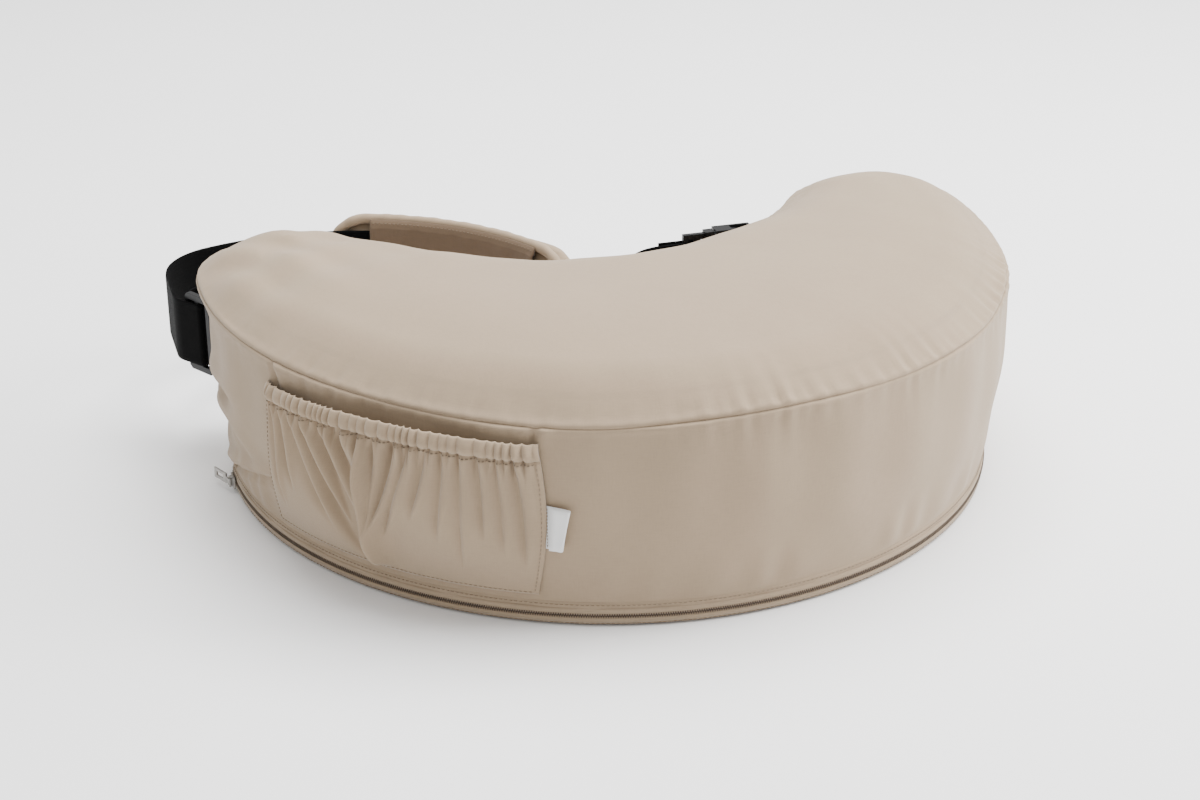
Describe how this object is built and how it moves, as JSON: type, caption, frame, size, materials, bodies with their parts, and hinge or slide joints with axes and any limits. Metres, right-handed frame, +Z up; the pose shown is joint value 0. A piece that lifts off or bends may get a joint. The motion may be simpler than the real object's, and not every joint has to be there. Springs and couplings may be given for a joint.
{
  "type": "nursing pillow",
  "caption": "Crescent support cushion with zipped cloth cover, gathered front pocket and a webbing belt with padded back rest, glide and buckle.",
  "frame": {"origin": "on the underside, below the middle of the cushion", "axes": "+X to the right seen from the front, +Y towards the wearer, +Z up"},
  "size_m": [0.611, 0.5202, 0.1733],
  "materials": {
    "cover_cloth": "matt fine plain weave",
    "sleeve_cloth": "matt fine plain weave, darker",
    "liner_cloth": "thin white lining cloth",
    "foam": "open-cell cushion foam",
    "zip_tape": "woven tape",
    "zip_coil": "nylon coil",
    "zip_metal": "satin, light",
    "elastic": "woven elastic",
    "label": "smooth woven, plain",
    "webbing": "ribbed black webbing",
    "buckle_plastic": "satin moulded plastic"
  },
  "bodies": {
    "cushion": {"foam_core": "foam", "liner_lower": "liner_cloth", "liner_upper": "liner_cloth", "cover_top_panel": "cover_cloth", "cover_gusset_front": "cover_cloth", "cover_gusset_waist": "cover_cloth", "cover_bottom_panel": "cover_cloth", "zip_tape_lower": "zip_tape", "zip_tape_upper": "zip_tape", "zip_coil_lower": "zip_coil", "zip_coil_upper": "zip_coil", "zip_stop_left": "zip_metal", "zip_stop_right": "zip_metal", "pocket_panel": "cover_cloth", "pocket_hem": "cover_cloth", "pocket_elastic": "elastic", "side_label": "label", "belt_webbing": "webbing", "left_anchor_patch": "sleeve_cloth", "buckle_male": "buckle_plastic", "buckle_female": "buckle_plastic", "right_anchor_tab": "webbing", "right_anchor_patch": "sleeve_cloth"},
    "slider": {"zip_slider": "zip_metal"},
    "pull": {"zip_pull": "zip_metal"},
    "glide": {"tri_glide": "buckle_plastic"},
    "back_pad": {"pad_foam": "foam", "pad_cover_inner": "cover_cloth", "pad_cover_outer": "cover_cloth", "pad_sleeve": "sleeve_cloth"},
    "prong_upper": {"buckle_prong_upper": "buckle_plastic"},
    "prong_lower": {"buckle_prong_lower": "buckle_plastic"}
  },
  "joints": [
    {"name": "zip_slide", "type": "hinge", "parent": "cushion", "child": "slider", "pos_m": [0, 0.101, 0.0078], "axis": [0, 0, 1], "range_deg": [0, 176]},
    {"name": "zip_pull_swing", "type": "hinge", "parent": "slider", "child": "pull", "pos_m": [-0.29169, 0.09285, 0.0078], "axis": [0, 0, 1], "range_deg": [-18, 125]},
    {"name": "glide_tilt", "type": "hinge", "parent": "cushion", "child": "glide", "pos_m": [-0.294, 0.185, 0.088], "axis": [0, 0, 1], "range_deg": [-4, 4]},
    {"name": "back_pad_slide", "type": "hinge", "parent": "cushion", "child": "back_pad", "pos_m": [-0.207, 0.113, 0.075], "axis": [0, 0, 1], "range_deg": [-5, 5]},
    {"name": "prong_flex_upper", "type": "hinge", "parent": "cushion", "child": "prong_upper", "pos_m": [0.1201, 0.1992, 0.1015], "axis": [0, 1, 0], "range_deg": [0, 12], "stiffness_Nm_per_rad": 0.2},
    {"name": "prong_flex_lower", "type": "hinge", "parent": "cushion", "child": "prong_lower", "pos_m": [0.1201, 0.1992, 0.0745], "axis": [0, 1, 0], "range_deg": [-12, 0], "stiffness_Nm_per_rad": 0.2}
  ],
  "couplings": [
    {"joint": "prong_flex_lower", "follows": "prong_flex_upper", "ratio": -1}
  ]
}
